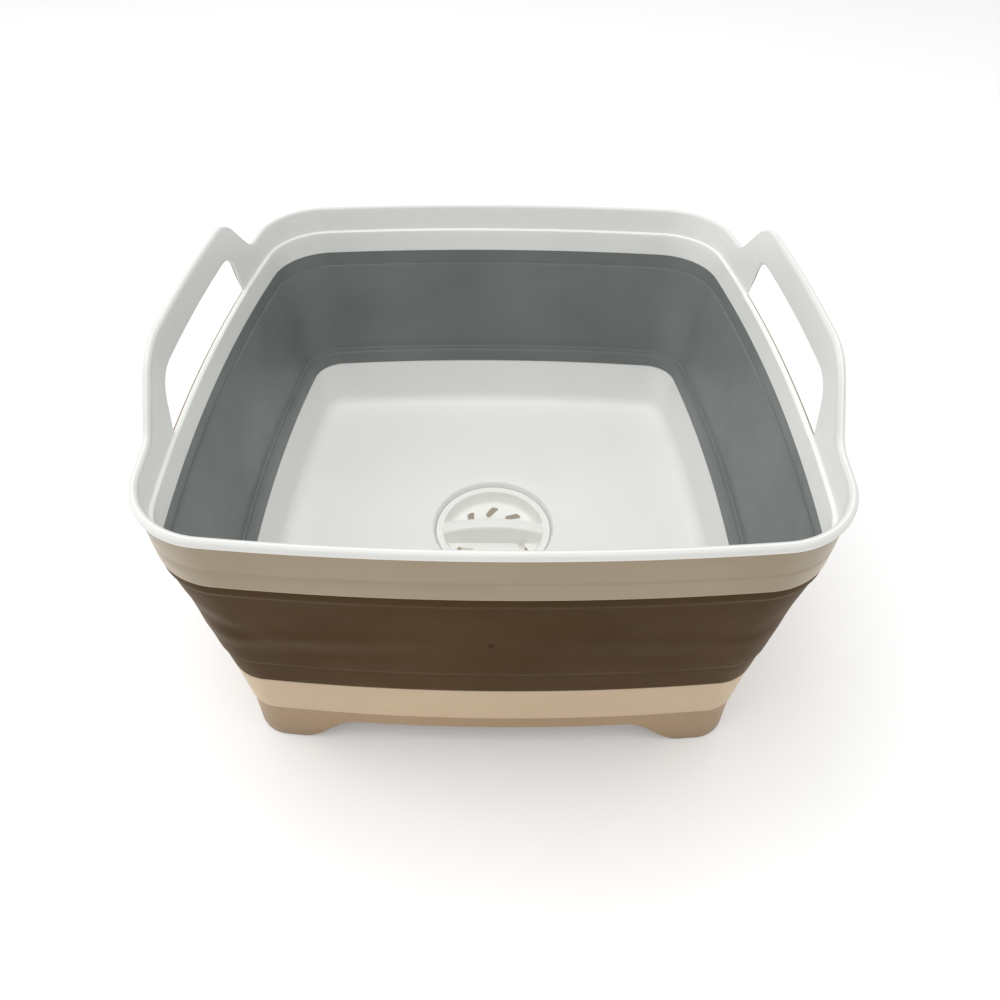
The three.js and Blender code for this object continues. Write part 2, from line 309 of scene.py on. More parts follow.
def fillet_drop(distance, radius):
    """How far a rounded edge falls away at a distance from the edge."""
    inward = np.clip(radius - distance, 0, radius)
    return radius - np.sqrt(radius**2 - inward**2)


def flat_sheet(bm, loops):
    """A flat mesh inside the first loop and outside the others. Each entry is (loop, insets): the loops run
    with the material on their left, and a row of quads follows the edge between one inset and the next."""
    inner_edges = []
    for loop, insets in loops:
        rows = [[bm.verts.new((x, y, 0)) for x, y in inset_loop(loop, inset)] for inset in insets]
        for near, far in zip(rows, rows[1:]):
            for i in range(len(near)):
                j = (i + 1) % len(near)
                bm.faces.new((near[i], near[j], far[j], far[i]))
        last = rows[-1]
        for i in range(len(last)):
            j = (i + 1) % len(last)
            inner_edges.append(bm.edges.get((last[i], last[j])) or bm.edges.new((last[i], last[j])))
    bmesh.ops.triangle_fill(bm, use_beauty=True, use_dissolve=False, edges=inner_edges, normal=(0, 0, 1))


def cut_lines(bm, axis, places):
    """Cuts a flat mesh along lines of constant x (axis 0) or y (axis 1)."""
    normal = Vector((1, 0, 0)) if axis == 0 else Vector((0, 1, 0))
    for place in places:
        geometry = [*bm.verts, *bm.edges, *bm.faces]
        bmesh.ops.bisect_plane(bm, geom=geometry, dist=1e-5, plane_co=normal * place, plane_no=normal)


def thicken(flat, top_of, bottom_of, keep_open=None):
    """A closed bmesh from a flat one: its faces moved to top_of(points) and, reversed, to bottom_of(points),
    and joined along the edges, apart from the edges whose middle keep_open is true for."""
    flat.verts.index_update()
    points = np.array([v.co[:2] for v in flat.verts])
    solid = bmesh.new()
    top = [solid.verts.new(p) for p in top_of(points)]
    bottom = [solid.verts.new(p) for p in bottom_of(points)]
    for face in flat.faces:
        index = [v.index for v in face.verts]
        solid.faces.new([top[i] for i in index])
        solid.faces.new([bottom[i] for i in reversed(index)])
    for edge in flat.edges:
        if len(edge.link_faces) != 1:
            continue
        a, b = (v.index for v in edge.verts)
        if keep_open is not None and keep_open((points[a] + points[b]) / 2):
            continue
        solid.faces.new((top[a], top[b], bottom[b], bottom[a]))
    flat.free()
    return solid


# ------------------------------------------------------------------ materials


def principled(name):
    material = bpy.data.materials.new(name)
    material.use_nodes = True
    tree = material.node_tree
    return material, tree, tree.nodes["Principled BSDF"]


def object_noise(tree, scale, detail=3.0, roughness=0.5):
    """A noise over the object's own coordinates, in metres."""
    place = tree.nodes.new("ShaderNodeTexCoord")
    noise = tree.nodes.new("ShaderNodeTexNoise")
    noise.inputs["Scale"].default_value = scale
    noise.inputs["Detail"].default_value = detail
    noise.inputs["Roughness"].default_value = roughness
    tree.links.new(place.outputs["Object"], noise.inputs["Vector"])
    return noise.outputs["Fac"]


def spread(tree, value, low, high):
    """Maps a noise's usual range onto low to high."""
    node = tree.nodes.new("ShaderNodeMapRange")
    node.inputs["From Min"].default_value = 0.3
    node.inputs["From Max"].default_value = 0.7
    node.inputs["To Min"].default_value = low
    node.inputs["To Max"].default_value = high
    tree.links.new(value, node.inputs["Value"])
    return node.outputs["Result"]


def mixed_colour(tree, factor, first, second):
    node = tree.nodes.new("ShaderNodeMix")
    node.data_type = "RGBA"
    node.inputs["A"].default_value = (*first, 1)
    node.inputs["B"].default_value = (*second, 1)
    tree.links.new(factor, node.inputs["Factor"])
    return node.outputs["Result"]


def moulded(name, light, dark, roughness=(0.28, 0.36), cloud_scale=14, grain_scale=900, grain=0.04,
            flow_scale=60, flow=0.08, specular=0.5, tint=(1, 1, 1), ior=1.49, subsurface=0.0, glow=0.0):
    """Moulded plastic or rubber: cloudy colour, uneven gloss, a fine mould grain and slow surface waves. The
    glow is painted light: an emission in the plastic's own colour that lifts parts lying in shade, as light
    coming through thin plastic would."""
    material, tree, shader = principled(name)
    clouds = object_noise(tree, cloud_scale, detail=4)
    tree.links.new(
        mixed_colour(tree, spread(tree, clouds, 0, 1), light, dark), shader.inputs["Base Color"]
    )
    gloss = object_noise(tree, cloud_scale * 3, detail=5, roughness=0.6)
    tree.links.new(spread(tree, gloss, *roughness), shader.inputs["Roughness"])
    slow = tree.nodes.new("ShaderNodeBump")
    slow.inputs["Strength"].default_value = flow
    slow.inputs["Distance"].default_value = 0.004
    tree.links.new(object_noise(tree, flow_scale, detail=1), slow.inputs["Height"])
    fine = tree.nodes.new("ShaderNodeBump")
    fine.inputs["Strength"].default_value = grain
    fine.inputs["Distance"].default_value = 0.0004
    tree.links.new(object_noise(tree, grain_scale, detail=2), fine.inputs["Height"])
    tree.links.new(slow.outputs["Normal"], fine.inputs["Normal"])
    tree.links.new(fine.outputs["Normal"], shader.inputs["Normal"])
    shader.inputs["IOR"].default_value = ior
    shader.inputs["Specular IOR Level"].default_value = specular
    shader.inputs["Specular Tint"].default_value = (*tint, 1)
    shader.inputs["Emission Color"].default_value = (*light, 1)
    shader.inputs["Emission Strength"].default_value = glow
    shader.inputs["Subsurface Weight"].default_value = subsurface
    shader.inputs["Subsurface Radius"].default_value = (0.6, 0.55, 0.5)
    shader.inputs["Subsurface Scale"].default_value = 0.003
    return material


WHITE_INSIDE = moulded("white_plastic_inside", (0.86, 0.87, 0.84), (0.82, 0.83, 0.80))
# Painted shade: a darker copy of the inner white for the bead, holding back the top light it catches.
WHITE_RIM_PAINTED_SHADE = moulded("white_plastic_rim_painted_shade", (0.70, 0.705, 0.68), (0.67, 0.675, 0.65), roughness=(0.36, 0.46))
# Painted shade: the same white plastic made dark and brown for the outside, which stands in shade lit warm
# from below; its reflections are tinted warm too.
WHITE_OUTSIDE_PAINTED_SHADE = moulded("white_plastic_outside_painted_shade", (0.285, 0.232, 0.158), (0.262, 0.21, 0.14),
                        tint=(1, 0.9, 0.75))
FLOOR_WHITE = moulded("white_plastic_floor", (0.87, 0.87, 0.855), (0.845, 0.842, 0.82), roughness=(0.38, 0.5))
# Painted shade: the base's white plastic darkened and browned on its outer wall.
BASE_OUTSIDE_PAINTED_SHADE = moulded("white_plastic_base_painted_shade", (0.435, 0.345, 0.232), (0.408, 0.32, 0.213),
                       roughness=(0.36, 0.46))
# Painted shade: the same white darkened further and browned on the skirt, feet and underside.
SKIRT_WHITE_PAINTED_SHADE = moulded("white_plastic_skirt_painted_shade", (0.28, 0.197, 0.113), (0.254, 0.176, 0.098),
                      roughness=(0.4, 0.5))
# Painted light: the strainer's white with a faint glow.
DRAIN_WHITE_PAINTED_GLOW = moulded("white_plastic_drain_painted_glow", (0.86, 0.86, 0.82), (0.83, 0.83, 0.79),
                      roughness=(0.34, 0.42), glow=0.035)
GREY_INSIDE = moulded("grey_rubber_inside", (0.19, 0.206, 0.202), (0.135, 0.15, 0.148),
                      roughness=(0.36, 0.5), cloud_scale=11, grain_scale=1400, grain=0.06)
# Painted shade: the wall's grey rubber made dark brown on its outside, with warm-tinted reflections, for
# shade and warm light from below.
GREY_OUTSIDE_PAINTED_SHADE = moulded("grey_rubber_outside_painted_shade", (0.064, 0.0355, 0.0135), (0.046, 0.025, 0.009),
                       roughness=(0.38, 0.5), cloud_scale=9, grain_scale=1400, grain=0.06, specular=0.09,
                       tint=(1, 0.8, 0.55), ior=1.28)
# Painted shade and painted light: the drain cup's white darkened to beige, then made to glow, as it sits in
# shade under the slots.
WELL_PAINTED_SHADE_AND_GLOW = moulded("white_plastic_well_painted_shade_and_glow", (0.46, 0.42, 0.37), (0.42, 0.38, 0.33), glow=0.42)
# Painted light: the stopper's white made to glow.
STOPPER_PAINTED_GLOW = moulded("white_plastic_stopper_painted_glow", (0.8, 0.79, 0.75), (0.76, 0.75, 0.71), glow=0.35)
SILICONE = moulded("silicone", (0.62, 0.63, 0.6), (0.55, 0.56, 0.53), roughness=(0.4, 0.5), subsurface=0.2)


# ------------------------------------------------------------------ frame with handles

# (level, offset) of the frame's two faces, and (distance from the top edge, offset) of the bead's.
FRAME_OUTER = [
    (FRAME_BOTTOM, -3.15),
    (STEP - 0.3, -2.5),
    (STEP + 0.3, -2.6),
    (RIM_TOP - 4, -1.5),
    (HANDLE_TOP, -1.35),
]
FRAME_INNER = [
    (FRAME_BOTTOM, -6.0),
    (LEDGE - 0.9, -5.95),
    (LEDGE - 0.3, -5.8),
    (LEDGE - 0.04, -5.45),
    (LEDGE + 0.04, -4.5),
    (LEDGE + 0.3, -4.2),
    (RIM_TOP, -4.0),
    (HANDLE_TOP, -3.95),
]
LEVEL_CUTS = (STEP - 0.3, STEP + 0.3, LEDGE - 0.9, LEDGE - 0.3, LEDGE - 0.04, LEDGE + 0.04, LEDGE + 0.3)
BEAD_OUTER = [(0, -1.75), (0.15, -1.1), (0.5, -0.5), (1.1, -0.12), (1.9, 0), (2.7, -0.05), (3.5, -0.35),
              (4.1, -0.9), (BEAD_HEIGHT, -1.4)]
BEAD_INNER = [(0, -2.25), (0.15, -2.85), (0.5, -3.35), (1.1, -3.75), (1.9, -3.97)]
BEAD_ROWS = (0, 0.15, 0.5, 1.1, 1.9, 2.7, 3.5, 4.1, BEAD_HEIGHT, 5)
HOLE_ROWS = (0, 0.12, 0.4, 0.8, 1.3, 1.9)
RIM_ROUND = 1.9
HOLE_ROUND = 1.3
SEAM_REACH = 0.16  # points left unmatched on the seam are joined within this distance
FOOT_ROUND = 0.7
SEAM_MARGIN = 20  # how far the flat frame runs past both ends of the outline before it is cut


def handle_edge():
    """The frame's top edge along the outline, over both handles, from before its start to past its end."""
    corners = [(-SEAM_MARGIN, RIM_TOP, 0)]
    for centre in (outline.left, outline.right):
        corners += [
            (centre - HANDLE_HALF_FOOT, RIM_TOP, HANDLE_FOOT_TRIM),
            (centre - HANDLE_HALF_TOP, HANDLE_TOP, HANDLE_TRIM),
            (centre + HANDLE_HALF_TOP, HANDLE_TOP, HANDLE_TRIM),
            (centre + HANDLE_HALF_FOOT, RIM_TOP, HANDLE_FOOT_TRIM),
        ]
    corners.append((outline.length + SEAM_MARGIN, RIM_TOP, 0))
    return corners


def hand_hole(centre):
    return rounded_loop(
        [
            (centre - HOLE_HALF_BOTTOM, LEDGE, HOLE_FOOT_TRIM),
            (centre - HOLE_HALF_TOP, HOLE_TOP, HOLE_TRIM),
            (centre + HOLE_HALF_TOP, HOLE_TOP, HOLE_TRIM),
            (centre + HOLE_HALF_BOTTOM, LEDGE, HOLE_FOOT_TRIM),
        ]
    )


def curve_of(pairs, x):
    xs, ys = np.array(pairs, float).T
    return np.interp(x, xs, ys)


def make_frame():
    top = handle_edge()
    end = [(outline.length + SEAM_MARGIN, FRAME_BOTTOM, 0), (-SEAM_MARGIN, FRAME_BOTTOM, 0)]
    edge_loop = rounded_loop([*reversed(top), *reversed(end)])
    top_line = edge_loop[:-2]
    holes = [hand_hole(centre) for centre in (outline.left, outline.right)]
    flat = bmesh.new()
    flat_sheet(flat, [(edge_loop, BEAD_ROWS), *((hole, HOLE_ROWS) for hole in holes)])
    cut_lines(flat, 0, [*outline.stations(*FRAME_STEPS), outline.length])
    cut_lines(flat, 1, LEVEL_CUTS)
    past = [v for v in flat.verts if v.co.x < -1e-4 or v.co.x > outline.length + 1e-4]
    bmesh.ops.delete(flat, geom=past, context="VERTS")

    def rounding(points):
        """How far a face draws in round a hand hole's edge."""
        near = np.minimum(*(distance_to(points, hole) for hole in holes))
        return fillet_drop(near, HOLE_ROUND)

    def place(points, offset):
        return np.column_stack([outline.points(points[:, 0], offset), points[:, 1]])

    def outer(points):
        near = distance_to(points, top_line, closed=False)
        face = curve_of(FRAME_OUTER, points[:, 1])
        offset = np.where(near < BEAD_HEIGHT, curve_of(BEAD_OUTER, near), face)
        return place(points, offset - rounding(points) - fillet_drop(points[:, 1] - FRAME_BOTTOM, FOOT_ROUND))

    def inner(points):
        near = distance_to(points, top_line, closed=False)
        face = curve_of(FRAME_INNER, points[:, 1])
        offset = np.where(near < RIM_ROUND, curve_of(BEAD_INNER, near), face)
        return place(points, offset + rounding(points))

    def at_seam(middle):
        return middle[0] < 0.01 or middle[0] > outline.length - 0.01

    centres = np.array([face.calc_center_median()[:2] for face in flat.faces])
    from_top = distance_to(centres, top_line, closed=False)
    solid = thicken(flat, outer, inner, keep_open=at_seam)
    solid.faces.ensure_lookup_table()
    # Painted shade: the outer face takes the darkened, browned white, and the bead a darker copy of the inner
    # white.
    for i, depth in enumerate(from_top):
        solid.faces[2 * i].material_index = 1 if depth > BEAD_HEIGHT else 2
        solid.faces[2 * i + 1].material_index = 0 if depth > RIM_ROUND else 2
    bmesh.ops.remove_doubles(solid, verts=solid.verts, dist=1e-3)
    unmatched = [v for v in solid.verts if v.is_boundary]
    bmesh.ops.remove_doubles(solid, verts=unmatched, dist=SEAM_REACH)
    obj = finish_mesh("tub_frame", solid, [WHITE_INSIDE, WHITE_OUTSIDE_PAINTED_SHADE, WHITE_RIM_PAINTED_SHADE])
    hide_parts("rim_frame")
    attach(obj, "frame")


# ------------------------------------------------------------------ folding wall

# (offset, level) down the outside, then up the inside.
WALL_OUTER = [
    (-4.2, FRAME_BOTTOM + 0.5),
    (-3.6, FRAME_BOTTOM - 0.3),
    (-3.85, FOLD_HIGH + 3.3),
    (-3.95, FOLD_HIGH + 2.9),
    (-4.85, FOLD_HIGH + 1.0),
    (-5.05, FOLD_HIGH + 0.3),
    (-5.25, FOLD_HIGH - 1.0),
    (-13.4, FOLD_LOW + 4.6),
    (-13.6, FOLD_LOW + 3.2),
    (-13.75, FOLD_LOW + 2.7),
    (-14.45, FOLD_LOW + 1.2),
    (-14.65, FOLD_LOW + 0.5),
    (-14.9, FOLD_LOW - 2),
    (-16.7, WALL_BOTTOM + 1.2),
    (-16.95, WALL_BOTTOM + 0.3),
    (-17.6, WALL_BOTTOM + 0.05),
]
WALL_INNER = [
    (-20.6, LIP_TOP + 0.05),
    (-21.3, LIP_TOP + 0.4),
    (-21.3, LIP_TOP + 1.4),
    (-20.4, FOLD_LOW - 3),
    (-20.0, FOLD_LOW - 2),
    (-19.2, FOLD_LOW - 1.7),
    (-18.1, FOLD_LOW - 1.6),
    (-17.75, FOLD_LOW - 1.1),
    (-17.6, FOLD_LOW - 0.2),
    (-17.35, FOLD_LOW + 0.15),
    (-16.6, FOLD_LOW + 0.3),
    (-16.3, FOLD_LOW + 0.8),
    (-15.9, FOLD_LOW + 4.4),
    (-7.3, FOLD_HIGH - 4.6),
    (-7.0, FOLD_HIGH - 3),
    (-6.85, FOLD_HIGH - 2.2),
    (-6.75, FOLD_HIGH - 1.9),
    (-5.9, FOLD_HIGH - 1.7),
    (-5.75, FOLD_HIGH - 1.4),
    (-5.9, FRAME_BOTTOM - 0.8),
    (-5.6, FRAME_BOTTOM + 0.2),
    (-5, FRAME_BOTTOM + 0.5),
]
GATE_LEVEL = 104
GATE_RADIUS = 1.3
GATE_WIDTH, GATE_HEIGHT = 0.2, 0.14  # half of the ring's own width and height
GATE_PROUD = 0.1
GATE_LEAN = 0.16  # how far the wall runs out for each millimetre up
WALL_ROW_STEP = 1.2
SIDE_PILLOW = 0.5  # how far the middle of each side draws in, and over what length
SIDE_PILLOW_LENGTH = 75
CORNER_PINCH = 0.9
CORNER_PINCH_LENGTH = 30

# The dents of a corner: how far out, how far past the corner, level, length, height and lean. The front left
# corner has them in full, the front right one has less of them.
CREASES = [
    (0.55, 14, 121, 46, 7, -0.5),
    (-0.6, 28, 109, 46, 8, -0.42),
    (0.8, 46, 102, 52, 7, 0.1),
    (-0.6, 50, 89, 46, 6, 0.08),
]
FRONT_LEFT, FRONT_RIGHT = 3, 5
CREASED_CORNERS = [(FRONT_LEFT, 1, 1.0), (FRONT_RIGHT, -1, 0.45)]


def finer(profile, step):
    """The same line of (offset, level) points with none further apart than step."""
    found = [profile[0]]
    for a, b in zip(profile, profile[1:]):
        count = max(1, math.ceil(math.dist(a, b) / step))
        found += [tuple(np.add(a, np.subtract(b, a) * i / count)) for i in range(1, count + 1)]
    return found


def crease(s, z, centre, level, along, across, lean):
    """A soft dent: 1 at its middle, fading over along and across, with its long side leaning."""
    dx, dz = s - centre, z - level
    u = dx * math.cos(lean) + dz * math.sin(lean)
    v = -dx * math.sin(lean) + dz * math.cos(lean)
    return np.exp(-((u / along) ** 2) - (v / across) ** 2)


def wall_shape(s, z):
    """How far the soft wall stands out of or in from its even shape, in millimetres."""
    height = np.clip((z - FOLD_LOW) / (FOLD_HIGH - FOLD_LOW), 0, 1)
    middle = np.sin(math.pi * height) ** 2
    shape = np.zeros_like(s)
    for centre in (0, outline.left, outline.front, outline.right, outline.length):
        shape -= SIDE_PILLOW * np.exp(-(((s - centre) / SIDE_PILLOW_LENGTH) ** 2))
    for arc in (1, FRONT_LEFT, FRONT_RIGHT, 7):
        shape -= CORNER_PINCH * np.exp(-(((s - outline.middle(arc)) / CORNER_PINCH_LENGTH) ** 2)) * height
    for arc, way, weight in CREASED_CORNERS:
        for out, past, level, along, across, lean in CREASES:
            centre = outline.middle(arc) + past * way
            shape += weight * out * crease(s, z, centre, level, along, across, lean * way)
    return shape * middle


def add_gate_mark(bm):
    """The small raised ring left by moulding, in the middle of the front panel."""
    place = np.append(outline.points(outline.front, 0), GATE_LEVEL)
    offsets, levels = np.array(WALL_OUTER).T
    dent = wall_shape(np.array([outline.front]), GATE_LEVEL)[0]
    depth = np.interp(-GATE_LEVEL, -levels, offsets) + dent + GATE_PROUD
    ring = []
    for a in np.linspace(0, 2 * math.pi, 20, endpoint=False):
        circle = []
        for b in np.linspace(0, 2 * math.pi, 8, endpoint=False):
            reach = GATE_RADIUS + GATE_WIDTH * math.cos(b)
            up = reach * math.sin(a)
            out = depth + GATE_LEAN * up + GATE_HEIGHT * math.sin(b)
            circle.append(place + np.array([reach * math.cos(a), -out, up]))
        ring.append(circle)
    grid_mesh(bm, np.array(ring), material=[0] * len(ring))


def make_wall():
    stations = outline.stations(*WALL_STEPS)
    outside, inside = finer(WALL_OUTER, WALL_ROW_STEP), finer(WALL_INNER, WALL_ROW_STEP)
    rows = []
    for offset, level in outside + inside:
        z = np.full(len(stations), level)
        rows.append(np.column_stack([outline.points(stations, offset + wall_shape(stations, z)), z]))
    bm = bmesh.new()
    # The outer rows take the grey rubber with painted shade, darker and browner than the inner rows' own
    # grey; the gate mark takes it too.
    grid_mesh(bm, np.array(rows), material=[0] * len(outside) + [1] * len(inside))
    add_gate_mark(bm)
    obj = finish_mesh("folding_wall", bm, [GREY_OUTSIDE_PAINTED_SHADE, GREY_INSIDE])
    bands = [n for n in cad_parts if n.startswith("wall_")]
    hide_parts(*sorted(bands))
    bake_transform(obj)


# ------------------------------------------------------------------ base tray


def arch_level(points, normals):
    """The level of the skirt's lower edge: 0 under the feet, ARCH_TOP between them."""
    faces_front = np.abs(normals[:, 1]) > np.abs(normals[:, 0])
    across = np.where(faces_front, np.abs(points[:, 0]), np.abs(points[:, 1]))
    half = np.where(faces_front, ARCH_HALF_FRONT, ARCH_HALF_SIDE)
    share = np.clip((across - half) / FOOT_SLOPE, 0, 1)
    return ARCH_TOP * (1 + np.cos(math.pi * share)) / 2


# The skirt's (offset, height over its lower edge), from inside the foot round to the outside.
SKIRT_EDGE = [
    (-24.9, 1.6),
    (-24.85, 0.9),
    (-24.6, 0.3),
    (-24.1, 0),
    (-22.3, 0),
    (-21.85, 0.12),
    (-21.6, 0.45),
    (-21.5, 1.1),
]
BASE_OUTER = [
    (-21.1, SKIRT_TOP - 0.8),
    (-21.05, SKIRT_TOP - 0.2),
    (-20.9, SKIRT_TOP + 0.05),
    (-20.5, SKIRT_TOP + 0.25),
    (-20.3, SKIRT_TOP + 0.7),
    (-20.2, SKIRT_TOP + 1.6),
    (-17.15, BASE_TOP - 1.4),
    (-17.1, BASE_TOP - 0.4),
    (-17.5, BASE_TOP),
    (-18.8, BASE_TOP),
    (-18.8, LIP_TOP),
    (-20.8, LIP_TOP),
    (-21.35, LIP_TOP - 0.5),
    (-21.4, LIP_TOP - 2),
]
BASE_WALL_FOOT = (-23.8, 41.5)
FILLET_RADIUS = 8.5
FLOOR_ROWS = 12
FLOOR_DISHING = 0.3


def base_inner():
    """The inner wall down to the floor, ending in a fillet."""
    turn = np.linspace(0.08, 1, 12) * math.pi / 2
    offset = BASE_WALL_FOOT[0] - FILLET_RADIUS - FLOOR_DISHING
    level = FLOOR + FILLET_RADIUS + FLOOR_DISHING
    fillet = [(offset + FILLET_RADIUS * math.cos(a), level - FILLET_RADIUS * math.sin(a)) for a in turn]
    return [BASE_WALL_FOOT, *fillet]


def make_base():
    stations = outline.stations(*BASE_STEPS)
    count = len(stations)
    angle, _ = outline.angles(stations)
    normals = np.column_stack([np.cos(angle), np.sin(angle)])
    lower = arch_level(outline.points(stations, -22), normals)
    rows, slots = [], []

    def add(points, level, slot):
        rows.append(np.column_stack([points, np.broadcast_to(level, count)]))
        slots.append(slot)

    # Slots: the floor's own white; the outer wall with painted shade; the skirt, underside and well hole with
    # deeper painted shade.
    inside, outside, skirt = 0, 1, 2
    for offset, height in SKIRT_EDGE:
        add(outline.points(stations, offset), lower + height, skirt)
    skirt_start = lower + SKIRT_EDGE[-1][1]
    for share in (0.25, 0.5, 0.75):
        level = skirt_start + (SKIRT_TOP - 0.8 - skirt_start) * share
        add(outline.points(stations, -21.5 + 0.4 * share), level, skirt)
    for offset, level in BASE_OUTER:
        on_wall = offset > -17.3 or level < BASE_TOP - 2
        slot = skirt if level < SKIRT_TOP else outside if on_wall else inside
        add(outline.points(stations, offset), level, slot)
    for offset, level in base_inner():
        add(outline.points(stations, offset), level, inside)

    # The floor: rows from its outline in to the drain's recess.
    edge = outline.points(stations, base_inner()[-1][0])
    bearing = np.arctan2(edge[:, 1], edge[:, 0])
    unit_circle = np.column_stack([np.cos(bearing), np.sin(bearing)])
    for i in range(1, FLOOR_ROWS + 1):
        share = i / FLOOR_ROWS
        level = FLOOR + FLOOR_DISHING * (1 - smoothstep(share))
        add(edge * (1 - share) + (RECESS_RADIUS + RECESS_SLOPE) * unit_circle * share, level, inside)
    circle_rows = [
        (RECESS_RADIUS + RECESS_SLOPE * 0.8, FLOOR - 0.12),
        (RECESS_RADIUS + RECESS_SLOPE * 0.62, FLOOR - 0.4),
        (RECESS_RADIUS + RECESS_SLOPE * 0.48, FLOOR - 0.9),
        (RECESS_RADIUS + RECESS_SLOPE * 0.16, FLOOR - 2.6),
        (RECESS_RADIUS, FLOOR - 3.6),
        (RECESS_RADIUS - 0.1, RECESS_LEVEL + 0.2),
        (RECESS_RADIUS - 0.3, RECESS_LEVEL),
        (WELL_HOLE_RADIUS + 0.4, RECESS_LEVEL),
        (WELL_HOLE_RADIUS, RECESS_LEVEL - 0.4),
        (WELL_HOLE_RADIUS, FLOOR_UNDERSIDE),
    ]
    for radius, level in circle_rows:
        add(radius * unit_circle, level, inside if level > FLOOR_UNDERSIDE else skirt)

    # The underside, out to the inner face of the skirt.
    under = outline.points(stations, -26)
    for share in (0.15, 0.4, 0.65, 0.85, 1.0):
        add(WELL_HOLE_RADIUS * unit_circle * (1 - share) + under * share, FLOOR_UNDERSIDE, skirt)
    add(outline.points(stations, -25), FLOOR_UNDERSIDE - 0.8, skirt)
    bm = bmesh.new()
    grid_mesh(bm, np.array(rows), material=slots)
    obj = finish_mesh("base", bm, [FLOOR_WHITE, BASE_OUTSIDE_PAINTED_SHADE, SKIRT_WHITE_PAINTED_SHADE])
    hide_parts("base_tray")
    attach(obj, "base")


# ------------------------------------------------------------------ drain


def make_well():
    low, high = node_box("drain_well")
    outer = WELL_HOLE_RADIUS - 0.3
    inner = outer - WELL_WALL
    collar = FLOOR_UNDERSIDE - 0.3
    top = min(high.z, RECESS_LEVEL)
    bm = bmesh.new()
    turned(bm, [
        (OUTLET_RADIUS + 0.4, low.z), (outer - 2.4, low.z), (outer - 0.7, low.z + 0.6), (outer, low.z + 2.2),
        (outer, collar - 1.8), (outer + 3.6, collar - 1.8), (outer + 4, collar - 1.4), (outer + 4, collar),
        (outer, collar), (outer, top), (inner, top), (inner, low.z + 3.4), (inner - 0.5, low.z + 2.4),
        (inner - 1.4, low.z + 2), (OUTLET_RADIUS + 0.4, low.z + 2), (OUTLET_RADIUS, low.z + 1.6),
        (OUTLET_RADIUS, low.z + 0.4),
    ])
    obj = finish_mesh("drain_cup", bm, [WELL_PAINTED_SHADE_AND_GLOW])
    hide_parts("drain_well")
    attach(obj, "base")


def slot_loop(index):
    """One comma-shaped water slot, clockwise, bent a little along its length."""
    angle = math.radians(SLOT_START + index * 360 / SLOT_COUNT)
    lean = angle - math.radians(SLOT_LEAN)
    half, wide = SLOT_LENGTH / 2, SLOT_WIDTH / 2
    quarter = math.pi / 2
    points = []
    for x, radius, start in ((half - wide, wide, quarter), (wide - half, wide * SLOT_TAPER, -quarter)):
        for a in np.linspace(start, start - math.pi, 13):
            points.append((x + radius * math.cos(a), radius * math.sin(a)))
    points = np.array(points)
    points[:, 1] += SLOT_SHIFT - SLOT_BEND * points[:, 0] ** 2
    turn = np.array([[math.cos(lean), math.sin(lean)], [-math.sin(lean), math.cos(lean)]])
    return points @ turn + SLOT_RADIUS * np.array([math.cos(angle), math.sin(angle)])


def dish_floor():
    """The flat, slotted middle of the strainer."""
    steps = 120
    bearing = np.linspace(0, 2 * math.pi, steps, endpoint=False)
    rim = DISH_FLAT_RADIUS * np.column_stack([np.cos(bearing), np.sin(bearing)])
    slots = [slot_loop(i) for i in range(SLOT_COUNT)]
    rows = (0, 0.1, 0.3, SLOT_ROUND)
    flat = bmesh.new()
    flat_sheet(flat, [(rim, (0, 0.8)), *((loop, rows) for loop in slots)])

    def level(points, base, sign):
        near = np.min([distance_to(points, loop) for loop in slots], axis=0)
        return np.column_stack([points, base + sign * fillet_drop(near, SLOT_ROUND)])

    def at_rim(middle):
        return np.hypot(*middle) > DISH_FLAT_RADIUS - 0.1

    return thicken(
        flat, lambda p: level(p, DISH_FLOOR, -1), lambda p: level(p, DISH_UNDERSIDE, 1), keep_open=at_rim
    )


def add_grip(bm):
    """The finger bar: an arch across the dish with rounded edges, wider where it meets the flange."""
    reach = DISH_RADIUS + 0.4
    top = STRAINER_HIGH.z - GRIP_DROP
    across = np.linspace(-1, 1, 61)
    section = [(-1, 0), (-0.97, 0.62), (-0.93, 0.9), (-0.8, 0.985), (-0.5, 1), (0, 1), (0.5, 1), (0.8, 0.985),
               (0.93, 0.9), (0.97, 0.62), (1, 0)]
    points = []
    for share in across:
        crown = FLANGE_TOP - 0.3 + (top - FLANGE_TOP + 0.3) * (1 - share**2)
        half = (GRIP_WIDTH + (GRIP_FOOT_WIDTH - GRIP_WIDTH) * abs(share) ** 3) / 2
        foot = DISH_FLOOR - 0.4
        lean = 1 + GRIP_SPREAD * (crown - foot) / 13
        row = []
        for side, height in section:
            widen = lean - (lean - 1) * height
            level = foot if height == 0 else crown - (1 - height) * 4.5
            row.append((share * reach, side * half * widen, level))
        points.append(row)
    verts = grid_mesh(bm, np.array(points), close_rows=False, close_columns=True)
    bm.faces.new(verts[0])
    bm.faces.new(list(reversed(verts[-1])))


